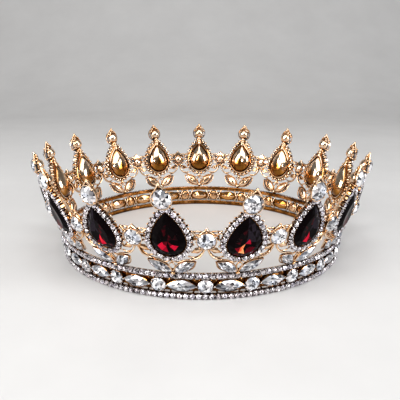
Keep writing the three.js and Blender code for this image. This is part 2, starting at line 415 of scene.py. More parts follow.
def tilt_matrix(x, s, n, rng, amount):
    ax = rng.normal(0, amount, 2)
    return Matrix.Translation((x, s, n)) @ Matrix.Rotation(math.radians(ax[0]), 4, "X") @ Matrix.Rotation(math.radians(ax[1]), 4, "Y") @ Matrix.Rotation(rng.uniform(0, 6.283), 4, "Z")


def small_stone(soup, M, r, rng, mat=0, m=5):
    sh = 0
    V, F, T = brilliant(lambda n: circle(r, n), m, (0, 0), -0.35 * r, 0.12 * r, 0.62 * r, 0.56, 0.8, rng, small_tones, dip=0.07 * r, s_back=0.5)
    soup.add(V, F, M, T, mat, False)


def round_stone(soup, M, r, rng, mat=0, m=8, depth=1.0):
    V, F, T = brilliant(lambda n: circle(r, n), m, (0, 0), -1.0 * depth, 0.0, 1.45 * depth, 0.58, 0.8, rng, clear_tones, s_in=0.5, dip=0.16 * depth)
    soup.add(V, F, M, T, mat, False)


def marquise_stone(soup, M, L, W, rng, mat=0, m=8, depth=1.0):
    V, F, T = brilliant(lambda n: marquise(L, W, n), m, (0, 0), -0.8 * depth, 0.0, 1.0 * depth, 0.56, 0.78, rng, long_tones, s_in=0.45, dip=0.30 * depth)
    soup.add(V, F, M, T, mat, False)


# ------------------------------------------------------------------ materials
def new_material(name):
    m = bpy.data.materials.new(name)
    m.use_nodes = True
    nt = m.node_tree
    nt.nodes.clear()
    out = nt.nodes.new("ShaderNodeOutputMaterial")
    b = nt.nodes.new("ShaderNodeBsdfPrincipled")
    nt.links.new(b.outputs[0], out.inputs[0])
    return m, nt, b


def ramp(nt, stops, fac):
    r = nt.nodes.new("ShaderNodeValToRGB")
    e = r.color_ramp.elements
    while len(e) < len(stops):
        e.new(0.5)
    for i, (p, c) in enumerate(stops):
        e[i].position = p
        e[i].color = (*c, 1)
    nt.links.new(fac, r.inputs[0])
    return r.outputs[0]


def noise(nt, scale, detail=3.0, rough=0.55, coord=None, distortion=0.0):
    n = nt.nodes.new("ShaderNodeTexNoise")
    n.inputs["Scale"].default_value = scale
    n.inputs["Detail"].default_value = detail
    n.inputs["Roughness"].default_value = rough
    n.inputs["Distortion"].default_value = distortion
    if coord is None:
        tc = nt.nodes.new("ShaderNodeTexCoord")
        coord = tc.outputs["Object"]
    nt.links.new(coord, n.inputs["Vector"])
    return n.outputs["Fac"]


def math_node(nt, op, a, b=None, c=None, clamp=False):
    n = nt.nodes.new("ShaderNodeMath")
    n.operation = op
    n.use_clamp = clamp
    for i, v in enumerate((a, b, c)):
        if v is None:
            continue
        if isinstance(v, (int, float)):
            n.inputs[i].default_value = v
        else:
            nt.links.new(v, n.inputs[i])
    return n.outputs[0]


def mix_color(nt, fac, a, b, mode="MIX"):
    n = nt.nodes.new("ShaderNodeMix")
    n.data_type = "RGBA"
    n.blend_type = mode
    n.clamp_factor = True
    for key, v in (("Factor", fac), ("A", a), ("B", b)):
        sock = [s for s in n.inputs if s.name == key and (s.type == ("VALUE" if key == "Factor" else "RGBA"))][0]
        if isinstance(v, (int, float)):
            sock.default_value = v
        elif isinstance(v, tuple):
            sock.default_value = (*v, 1)
        else:
            nt.links.new(v, sock)
    return [o for o in n.outputs if o.type == "RGBA"][0]


def gold_material(name, deep, amber, mid, pale, rough=(0.10, 0.24), bump=0.12, scratch=0.05, dark=1.6, patina=0.25):
    m, nt, b = new_material(name)
    tc = nt.nodes.new("ShaderNodeTexCoord").outputs["Object"]
    patch = noise(nt, 260, 3, 0.6, tc)
    col = ramp(nt, [(0.30, mid), (0.62, pale)], patch)
    # painted shade: ambient occlusion darkens the colour in crevices, recesses and between parts, scaled by the tone
    # attribute of each face
    ao = nt.nodes.new("ShaderNodeAmbientOcclusion")
    ao.samples = 6
    ao.inputs["Distance"].default_value = 0.0019
    painted_shade_and_patina = math_node(nt, "POWER", ao.outputs["AO"], dark, clamp=True)
    at = nt.nodes.new("ShaderNodeAttribute")
    at.attribute_name = "tone"
    painted_shade_and_patina = math_node(nt, "MULTIPLY", painted_shade_and_patina, at.outputs["Fac"], clamp=True)
    # patina: noise patches that deepen the painted shade at random
    stain = nt.nodes.new("ShaderNodeMapRange")
    stain.inputs["From Min"].default_value = 0.38
    stain.inputs["From Max"].default_value = 0.62
    stain.inputs["To Min"].default_value = 1.0 - patina
    stain.inputs["To Max"].default_value = 1.0
    nt.links.new(noise(nt, 150, 3, 0.6, tc, 0.8), stain.inputs["Value"])
    painted_shade_and_patina = math_node(nt, "MULTIPLY", painted_shade_and_patina, stain.outputs[0], clamp=True)
    # the mask mixes in deep, a painted shade colour, where it is darkest, and amber, a painted warm reflection, in half
    # shade
    f1 = math_node(nt, "MULTIPLY", painted_shade_and_patina, 2.3, clamp=True)
    f2 = math_node(nt, "MULTIPLY_ADD", painted_shade_and_patina, 2.0, -0.8, clamp=True)
    col = mix_color(nt, f2, mix_color(nt, f1, deep, amber), col)
    nt.links.new(col, b.inputs["Base Color"])
    b.inputs["Metallic"].default_value = 1.0
    wear = noise(nt, 900, 4, 0.65, tc)
    r = nt.nodes.new("ShaderNodeMapRange")
    r.inputs["From Min"].default_value = 0.3
    r.inputs["From Max"].default_value = 0.75
    r.inputs["To Min"].default_value = rough[0]
    r.inputs["To Max"].default_value = rough[1]
    nt.links.new(wear, r.inputs["Value"])
    nt.links.new(r.outputs[0], b.inputs["Roughness"])
    cast = noise(nt, 420, 2, 0.5, tc)
    fine = noise(nt, 3800, 2, 0.5, tc)
    h = math_node(nt, "MULTIPLY_ADD", fine, scratch, cast)
    bp = nt.nodes.new("ShaderNodeBump")
    bp.inputs["Strength"].default_value = bump
    bp.inputs["Distance"].default_value = 0.0006
    nt.links.new(h, bp.inputs["Height"])
    nt.links.new(bp.outputs[0], b.inputs["Normal"])
    return m


def stone_material(name, stops, metallic, rough, tint=None, coat=1.0, ior=1.6, spec=0.5):
    m, nt, b = new_material(name)
    at = nt.nodes.new("ShaderNodeAttribute")
    at.attribute_name = "tone"
    tc = nt.nodes.new("ShaderNodeTexCoord").outputs["Object"]
    n1 = noise(nt, 700, 2, 0.5, tc)
    t = math_node(nt, "MULTIPLY_ADD", n1, 0.22, -0.11)
    t = math_node(nt, "ADD", at.outputs["Fac"], t, clamp=True)
    col = ramp(nt, stops, t)
    if tint:
        n2 = noise(nt, 330, 1, 0.5, tc)
        tc1 = ramp(nt, [(0.34, tint[0]), (0.5, (1, 1, 1)), (0.66, tint[1])], n2)
        col = mix_color(nt, 1.0, col, tc1, "MULTIPLY")
    nt.links.new(col, b.inputs["Base Color"])
    b.inputs["Metallic"].default_value = metallic
    b.inputs["IOR"].default_value = ior
    b.inputs["Specular IOR Level"].default_value = spec
    b.inputs["Coat Weight"].default_value = coat
    b.inputs["Coat Roughness"].default_value = 0.02
    r = nt.nodes.new("ShaderNodeMapRange")
    r.inputs["To Min"].default_value = rough[0]
    r.inputs["To Max"].default_value = rough[1]
    nt.links.new(n1, r.inputs["Value"])
    nt.links.new(r.outputs[0], b.inputs["Roughness"])
    return m


# the first two colours of each metal, deep and amber, are painted shade colours
GOLD = gold_material("gold_setting", (0.045, 0.014, 0.003), (0.60, 0.25, 0.045), (0.88, 0.60, 0.36), (0.97, 0.80, 0.62), rough=(0.06, 0.18), dark=2.6, patina=0.22)
GOLD_RAIL = gold_material("gold_rail", (0.035, 0.012, 0.003), (0.46, 0.18, 0.035), (0.66, 0.38, 0.17), (0.92, 0.70, 0.47), rough=(0.07, 0.20), bump=0.35, dark=2.4, patina=0.84)
SILVER = gold_material("claw_metal", (0.07, 0.05, 0.045), (0.36, 0.30, 0.28), (0.82, 0.76, 0.74), (0.98, 0.94, 0.92), rough=(0.08, 0.20), bump=0.08, dark=3.2, patina=0.2)
# painted reflections: the tone ramps of the clear stones run from near-black to white facets, standing in for their
# glints and dark reflections
CLEAR = stone_material("clear_crystal", [(0.0, (0.008, 0.008, 0.011)), (0.22, (0.065, 0.066, 0.078)), (0.5, (0.37, 0.375, 0.40)), (0.8, (0.88, 0.885, 0.91)), (1.0, (1, 1, 1))],
                       0.62, (0.03, 0.09), ((0.86, 0.90, 1.0), (1.0, 0.93, 0.93)))
SMALL = stone_material("rhinestone", [(0.0, (0.006, 0.004, 0.006)), (0.25, (0.07, 0.055, 0.07)), (0.5, (0.36, 0.32, 0.36)), (0.8, (0.92, 0.88, 0.91)), (1.0, (1, 0.99, 1))],
                       0.62, (0.04, 0.12), ((0.93, 0.90, 1.0), (1.0, 0.92, 0.92)))
# painted flashes: the ruby's ramp is near black, with red and orange stops for painted internal flashes and a grey stop
# for a painted reflection
RUBY = stone_material("ruby_crystal", [(0.0, (0.0008, 0.0002, 0.0004)), (0.13, (0.0022, 0.0004, 0.0008)), (0.22, (0.016, 0.012, 0.018)), (0.34, (0.006, 0.0006, 0.0012)), (0.55, (0.11, 0.0015, 0.007)), (0.78, (0.62, 0.006, 0.032)), (0.9, (0.92, 0.05, 0.02)), (1.0, (1.0, 0.42, 0.16))],
                      0.0, (0.03, 0.08), None, coat=0.0, ior=1.5, spec=0.03)


def register(ob, slot, *nodes):
    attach(ob, "root")
    if nodes:
        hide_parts(*nodes)
    return ob


# ------------------------------------------------------------------ dimensions of the settings, millimetres
PEAR = dict(r=6.7, foot=7.3, s0=1.35, s1=20.9)
HALO_LINE = dict(r=8.0, foot=8.65, s0=0.05, s1=22.5)
PLATE = dict(r=7.4, foot=8.0, s0=0.7, s1=21.5)
DOME = dict(r=6.2, foot=6.8, s0=1.8, s1=18.7)
N_HALO = 22
# painted flashes: the mode and side of the painted red internal reflections in each spire's ruby
RUBY_PAINTED_FLASH = {9: (0, 1), 8: (1, 1), 10: (3, -1), 7: (3, 1), 11: (4, 1), 6: (4, 1)}     # how the flashes lie in a stone
TOP_S = 25.9
CUP_BACK = -10.0                     # the top stone faces a little more upwards than the pear
LEAF = dict(L=11.5, W=5.3, rise=37.0, x=0.1, s=0.8)
LINK_S = 8.8


def wall_point(th, x, z, off):
    """A point on the wall above the band: x along the arc from angle th, height z, off outwards."""
    zl, zu = LEAF_STAGE[1], UPPER_STAGE[1]
    r_l = LEAF_STAGE[0] + (z - zl) * math.tan(math.radians(LEAF_STAGE[2]))
    r_u = UPPER_STAGE[0] + (z - zu) * math.tan(math.radians(UPPER_STAGE[2]))
    r = min(r_l, r_u + 0.4) if z < zu + 2 else r_u
    r += off
    a = th + x / r
    return [r * math.sin(a), -r * math.cos(a), z]


def dome_painted_reflection(c, n):
    """Painted reflections on the domed back: dark at its foot and in its middle, and amber at the lower corners."""
    x, y = abs(c[0]), c[1]
    low = min(max((9.6 - y) / 4.2, 0.0), 1.0)
    side = min(max((x - 2.6) / 2.4, 0.0), 1.0)
    core = math.exp(-((x / 1.5) ** 2 + ((y - 8.4) / 2.4) ** 2))
    return (1.0 - low * (0.84 - 0.44 * side)) * (1.0 - 0.72 * core)


# painted shade by facing: faces that point to the front, under and behind the stones, get tone level, back faces rest
# and side faces side, which darkens them through the gold material's painted shade mix
def painted_shade_by_facing(level=0.14, rest=1.0, side=0.55):
    return lambda c, n: level if n[2] > 0.6 else (rest if n[2] < -0.3 else side)


def stone_cup(gold, M, r_back, r_rim, depth, rim_n, sides=24):
    """Back cup that is smaller than the stone, and the thin ring that holds the stone's edge."""
    gold.add(*lathe([(0, -depth), (0.30 * r_back, -0.97 * depth), (0.56 * r_back, -0.86 * depth), (0.78 * r_back, -0.67 * depth), (0.93 * r_back, -0.42 * depth), (r_back, -0.15 * depth), (r_back, -0.1), (0, 0.0)], sides), M, smooth=True)
    ring = circle(r_rim, 36)
    gold.add(*collar(ring, [(-0.12, rim_n - 0.35), (0.14, rim_n - 0.35), (0.16, rim_n + 0.1), (-0.06, rim_n + 0.16), (-0.16, rim_n + 0.02)]), M)
    for i in range(4):
        a = math.pi / 4 + i * math.pi / 2
        c, q = math.cos(a), math.sin(a)
        gold.add(*wire([[0.9 * r_back * c, 0.9 * r_back * q, -0.5 * depth], [(r_rim + 0.05) * c, (r_rim + 0.05) * q, rim_n - 0.3], [(r_rim + 0.02) * c, (r_rim + 0.02) * q, rim_n + 0.35]], 0.3, 6), M, smooth=True)
        gold.add(*ball(0.4, ((r_rim - 0.12) * c, (r_rim - 0.12) * q, rim_n + 0.35), (1, 1, 0.9), 7, 4), M, smooth=True)


# ------------------------------------------------------------------ one spire
def build_spire(k):
    rng = np.random.default_rng(1000 + k)
    name = f"{k + 1:02d}"
    S = spin(k)
    foot = Matrix.Translation((0, -3.0, 0))
    U = S @ stage_matrix(UPPER_STAGE) @ foot @ Matrix.Rotation(math.radians(LEAN_OUT.get(k, 0.0)), 4, "X") @ Matrix.Rotation(math.radians(LEAN_SIDE.get(k, 0.0)), 4, "Z") @ foot.inverted()
    bend = Matrix.Translation((0, 20.6, -0.4))
    T = U @ bend @ Matrix.Rotation(math.radians(NECK_BEND.get(k, 0.0)), 4, "Z") @ bend.inverted()
    L = S @ stage_matrix(LEAF_STAGE)
    node = f"spire_{name}"

    gold = Soup()
    # back plate and polished dome
    P = pear(n=72, **PLATE)
    c = (0, 8.6)
    gold.add(*pillow(P, c, [(0.95, -1.15), (1.0, -0.95), (1.0, 0.0), (0.97, 0.15)]), U, painted_shade_by_facing(0.10, 0.75, 0.3))
    D = pear(n=64, **DOME)
    levels = [(0.10, -4.25), (0.26, -4.17), (0.42, -3.98), (0.57, -3.66), (0.7, -3.2), (0.81, -2.65), (0.90, -2.05), (0.965, -1.5), (1.0, -1.05), (1.0, -0.9)]
    v, f = pillow(D, (0, 8.0), levels)
    gold.add(v, f, U, dome_painted_reflection, smooth=True)
    # rim round the dome
    gold.add(*collar(pear(n=64, r=6.45, foot=7.05, s0=1.5, s1=19.6), [(0.0, -0.9), (0.0, -1.7), (0.22, -1.85), (0.45, -1.7), (0.45, -0.9)]), U, smooth=False)
    # bezel that holds the ruby, with tone 0.16 for painted shade round the stone's edge
    B = pear(n=72, **PEAR)
    gold.add(*collar(B, [(0.02, 0.1), (0.26, 0.1), (0.22, 1.1), (0.08, 1.16), (-0.03, 1.0)]), U, 0.16)
    # cups of the halo stones, each with an open rim, and prongs that stand out between them
    H = pear(n=N_HALO, shift=0.5, **HALO_LINE)
    C = pear(n=N_HALO, shift=0.0, **HALO_LINE)
    Cn = normals2(pear(n=N_HALO * 8, shift=0.0, **HALO_LINE))[::8]
    for i in range(N_HALO):
        M = U @ Matrix.Translation((H[i][0], H[i][1], 0)) @ Matrix.Rotation(rng.uniform(0, 1), 4, "Z")
        gold.add(*lathe([(0, -1.3), (0.42, -1.25), (0.78, -0.85), (0.98, -0.2), (1.1, 0.7), (0.95, 0.74), (0, 0.55)], 7), M, painted_shade_by_facing(0.25, 1.0, 0.8))
        p, q = C[i], Cn[i]
        if p[1] < 21.0:
            w = 0.5 + 0.12 * rng.uniform(-1, 1)
            gold.add(*wire([[*(p + q * 0.1), -0.95], [*(p + q * 0.85), -0.85], [*(p + q * (1.2 + w * 0.3)), -0.45], [*(p + q * (1.28 + w * 0.36)), -0.2]], [0.46, 0.44, 0.36, 0.24], 6), U, 3.0, smooth=True)
    # neck: a bar from the top of the dome to the cup of the top stone, ringed twice
    gold.add(*lathe([(0, 17.9), (0.75, 18.1), (1.15, 18.8), (1.25, 19.6), (0.95, 20.1), (1.3, 20.45), (1.3, 20.9), (0.9, 21.2), (1.05, 21.8), (1.35, 22.1), (1.3, 22.6), (0.95, 22.9), (1.0, 23.6), (0, 23.8)], 12),
             U @ Matrix(((1, 0, 0, 0), (0, 0, 1, 0), (0, -1, 0, -1.05), (0, 0, 0, 1))), smooth=True)
    neck = np.array([[-1.9, 19.6], [1.9, 19.6], [1.35, 21.6], [1.2, 23.4], [-1.2, 23.4], [-1.35, 21.6]])
    gold.add(*pillow(neck, (0, 21.4), [(0.9, -1.1), (1.0, -0.9), (1.0, 0.1), (0.9, 0.4)]), U, 0.7)
    # cup of the top stone
    M = T @ Matrix.Translation((0, TOP_S, 0)) @ Matrix.Rotation(math.radians(CUP_BACK), 4, "X")
    stone_cup(gold, M, 2.85, 3.84, 3.1, 0.95)
    # finial: two ribs meeting in a point, a web between them, beads
    web = np.array([[-2.3, 27.6], [2.3, 27.6], [1.0, 29.9], [0.35, 31.0], [-0.35, 31.0], [-1.0, 29.9]])
    gold.add(*pillow(web, (0, 29), [(0.85, -1.25), (1.0, -1.05), (1.0, -0.5), (0.8, -0.4)]), T, painted_shade_by_facing(0.5, 1.0, 0.7))
    for sd in (-1, 1):
        gold.add(*wire(smooth_path([[sd * 3.3, 26.9, 0.3], [sd * 2.1, 28.9, 0.1], [sd * 0.85, 30.5, -0.2], [0, 31.5, -0.35]], 9), 0.42), T, smooth=True)
        gold.add(*ball(0.66, (sd * 1.3, 29.2, -1.1), (1, 1, 1), 8, 5), T, smooth=True)
        gold.add(*wire([[sd * 2.3, 27.4, -0.9], [sd * 1.5, 28.6, -1.2], [sd * 0.6, 30.0, -1.1]], 0.35, 6), T, smooth=True)
    gold.add(*ball(0.8, (0, 30.2, -0.95), (1, 1, 1), 8, 5), T, smooth=True)
    gold.add(*wire([[0, 30.6, -0.7], [0, 31.3, -0.6], [0, 31.9, -0.5]], [0.62, 0.6, 0.42], 8), T, smooth=True)
    # frames and cups of the two leaf stones
    for sd in (-1, 1):
        R = L @ Matrix.Translation((sd * LEAF["x"], LEAF["s"], 0)) @ Matrix.Rotation(sd * math.radians(LEAF["rise"]), 4, "Z") @ Matrix.Translation((sd * LEAF["L"] / 2, 0, 0))
        O = marquise(LEAF["L"] - 0.5, LEAF["W"] - 0.5, 44)
        gold.add(*collar(O, [(-0.05, -0.45), (0.17, -0.45), (0.18, 0.36), (0.04, 0.44), (-0.08, 0.3)]), R, 0.8)
        # the cup sits towards the upper edge and leaves the lower edge of the stone bare
        cup = marquise(LEAF["L"] * 0.91, LEAF["W"] * 0.86, 40)
        Rc = R @ Matrix.Translation((-sd * 0.3, 0.25, 0)) @ Matrix.Rotation(sd * math.radians(3), 4, "Z")
        gold.add(*pillow(cup, (0, 0), [(0.12, -1.75), (0.42, -1.62), (0.72, -1.3), (0.93, -0.85), (1.0, -0.4), (1.0, -0.15)]), Rc, smooth=True)
        gold.add(*wire(smooth_path([[-sd * 4.2, 0.1, -1.2], [0, 0.35, -1.95], [sd * 3.6, 0.2, -1.2]], 9), 0.26, 6), Rc, smooth=True)
        # wire along the lower edge, and one from the halo's foot along the upper edge
        gold.add(*wire(smooth_path([[-sd * 5.0, -0.7, -0.5], [-sd * 1.5, -2.75, -0.6], [sd * 2.2, -2.75, -0.6], [sd * 5.5, -0.5, -0.4]], 14), 0.3, 6), R, smooth=True)
        gold.add(*wire(smooth_path([[sd * 0.5, 7.2, -0.4], [sd * 2.4, 6.3, -0.3], [sd * 4.6, 7.3, -0.4], [sd * 7.6, 8.2, -0.5]], 14), 0.38, 6), L, smooth=True)
        gold.add(*wire(smooth_path([[sd * 0.2, 6.6, 0.1], [sd * 1.2, 4.9, 0.2], [sd * 0.7, 3.0, 0.2], [sd * 0.1, 1.5, 0.3]], 12), 0.3, 6), L, smooth=True)
    # drop from the halo's foot into the V of the leaves
    gold.add(*wire([[0, 8.2, -0.3], [0, 7.2, -0.35], [0, 6.3, -0.35], [0, 5.5, -0.35]], [0.95, 0.85, 0.55, 0.25], 8), L, smooth=True)
    gold.add(*ball(0.85, (0, 0.6, 0.55), (1.1, 1, 0.7)), L, smooth=True)
    gold.add(*ball(0.7, (0, 1.1, -0.9), (1.8, 1.1, 0.7)), L, smooth=True)
    register(gold.build(f"spire_{name}_casting", [GOLD]), "setting_gold", node)

    # halo stones and their claws
    stones, claws = Soup(), Soup()
    for i in range(N_HALO):
        small_stone(stones, U @ tilt_matrix(H[i][0], H[i][1], 0.85, rng, 6), 1.12, rng)
    for i in range(N_HALO):
        for o in (-0.74, 0.84):
            p = C[i] + Cn[i] * o
            claws.add(*ball(0.34, (p[0], p[1], 1.1), (1, 1, 1.25), 6, 4), U, smooth=True)
            claws.add(*wire([[p[0], p[1], 0.1], [p[0], p[1], 1.0]], 0.24, 6), U, 0.5, smooth=True)
    register(stones.build(f"spire_{name}_halo_stones", [SMALL]), "rhinestone", node)
    register(claws.build(f"spire_{name}_halo_claws", [SILVER]), "setting_gold", node)

    # top crystal and leaf crystals
    big = Soup()
    round_stone(big, T @ Matrix.Translation((0, TOP_S, 0)) @ Matrix.Rotation(math.radians(CUP_BACK), 4, "X") @ Matrix.Translation((0, 0, 0.95)) @ Matrix.Rotation(rng.uniform(0, 1), 4, "Z"), 3.78, rng, depth=1.05)
    for sd in (-1, 1):
        R = L @ Matrix.Translation((sd * LEAF["x"], LEAF["s"], 0)) @ Matrix.Rotation(sd * math.radians(LEAF["rise"]), 4, "Z") @ Matrix.Translation((sd * LEAF["L"] / 2, 0, 0))
        marquise_stone(big, R @ Matrix.Translation((0, 0, 0.3)), LEAF["L"] - 0.55, LEAF["W"] - 0.55, rng, depth=1.15)
    register(big.build(f"spire_{name}_crystals", [CLEAR]), "clear_crystal", node)

    # ruby
    red = Soup()
    V, F, T = brilliant(lambda n: pear(n=n, **PEAR), 12, (0, 9.0), 0.35, 0.95, 2.45, 0.62, 0.82, rng, lambda K, V, F, g: ruby_tones(K, V, F, g, *RUBY_PAINTED_FLASH.get(k, (None, None))), s_in=0.5, dip=0.14, s_back=0.6)
    red.add(V, F, U, T)
    register(red.build(f"ruby_{name}_stone", [RUBY]), "ruby_crystal", f"ruby_{name}")


# ------------------------------------------------------------------ one link
def build_link(k):
    rng = np.random.default_rng(2000 + k)
    name = f"{k + 1:02d}"
    S = spin(k + 0.5)
    U = S @ stage_matrix(UPPER_STAGE, LINK_OUT)
    node = f"link_{name}"
    gold = Soup()
    M = U @ Matrix.Translation((0, LINK_S, 0))
    stone_cup(gold, M, 2.55, 3.68, 2.5, 0.95)
    # tip: a small gable with a bead
    web = np.array([[-2.7, 11.3], [2.7, 11.3], [1.0, 12.8], [0.4, 13.5], [-0.4, 13.5], [-1.0, 12.8]])
    gold.add(*pillow(web, (0, 12), [(0.85, -0.8), (1.0, -0.6), (1.0, 0.25), (0.85, 0.4)]), U, painted_shade_by_facing(0.75, 1, 0.7))
    gold.add(*wire([[0, 13.0, -0.1], [0, 13.7, -0.1], [0, 14.2, -0.1]], [0.6, 0.55, 0.3], 8), U, smooth=True)
    gold.add(*ball(0.5, (0, 12.5, 0.45), (1, 1, 1), 8, 5), U, smooth=True)
    for sd in (-1, 1):
        gold.add(*wire([[sd * 3.4, 10.9, 0.35], [sd * 1.7, 12.2, 0.35], [0, 13.6, 0.15]], 0.42, 7), U, smooth=True)
        # bars out to the halos, wavy above, straight below
        gold.add(*wire(smooth_path([[sd * 2.2, 11.4, -0.2], [sd * 3.6, 10.9, -0.1], [sd * 4.6, 11.6, -0.4], [sd * 5.6, 12.3, -0.8]], 12), 0.48), U, smooth=True)
        gold.add(*wire(smooth_path([[sd * 1.8, 12.0, -0.7], [sd * 3.6, 12.2, -0.8], [sd * 5.4, 11.6, -1.2]], 8), 0.4), U, smooth=True)
        gold.add(*wire(smooth_path([[sd * 2.4, 8.9, -1.0], [sd * 4.0, 8.7, -0.9], [sd * 5.1, 8.3, -1.2]], 6), 0.45), U, smooth=True)
        gold.add(*ball(0.6, (sd * 4.35, 9.9, -0.6), (0.9, 1.3, 0.8), 8, 5), U, smooth=True)
        # leaf-shaped filler between the stone and the halo's lower side
        Fm = U @ Matrix.Translation((sd * 3.1, 4.0, -0.3)) @ Matrix.Rotation(sd * math.radians(-24), 4, "Z")
        gold.add(*pillow(marquise(5.6, 1.9, 24), (0, 0), [(0.6, -0.5), (1.0, -0.25), (1.0, 0.1), (0.55, 0.4)]), Fm, 0.8)
    # swept arms: from under the stone, down and round to the tips of the neighbouring leaves
    for sd in (-1, 1):
        up = [(0.35, 25.4, 0.2), (0.7, 23.9, 0.3), (1.25, 22.2, 0.3), (2.4, 20.6, 0.3), (4.2, 19.5, 0.3), (5.9, 19.1, 0.2)]
        w = [wall_point(0, sd * x, z, o) for x, z, o in up]
        gold.add(*wire(smooth_path(w, 20), 0.45), S, smooth=True)
        dn = [(3.9, 26.6, -0.6), (2.6, 26.0, -0.6), (1.5, 24.9, -0.5), (1.1, 23.2, -0.4), (1.7, 21.6, -0.4), (3.0, 20.5, -0.3), (4.8, 20.0, -0.3), (6.6, 20.4, -0.4)]
        w = [wall_point(0, sd * x, z, o) for x, z, o in dn]
        gold.add(*wire(smooth_path(w, 24), 0.36), S, smooth=True)
        # curl beside the stone's foot
        a = np.linspace(0.3, 5.4, 14)
        curl = [wall_point(0, sd * (3.3 + 1.0 * math.cos(t)), 23.2 + 1.0 * math.sin(t), 0.1) for t in a]
        gold.add(*wire(curl, 0.32), S, smooth=True)
    gold.add(*ball(0.72, wall_point(0, 0, 24.6, 0.9), (1, 1, 1.1), 8, 6), S, smooth=True)
    register(gold.build(f"link_{name}_casting", [GOLD]), "setting_gold", node)
    big = Soup()
    round_stone(big, M @ Matrix.Translation((0, 0, 0.95)) @ Matrix.Rotation(rng.uniform(0, 1), 4, "Z"), 3.6, rng, depth=1.0)
    register(big.build(f"link_{name}_crystal", [CLEAR]), "clear_crystal", node)


# ------------------------------------------------------------------ the band
def ring_body(section, n=360):
    """A closed ring from a section of (radius, height) corners."""
    a = 2 * math.pi * np.arange(n) / n
    rings = []
    for r, z in section:
        rings.append(np.c_[r * np.sin(a), -r * np.cos(a), np.full(n, z)])
    return skin(rings, True)


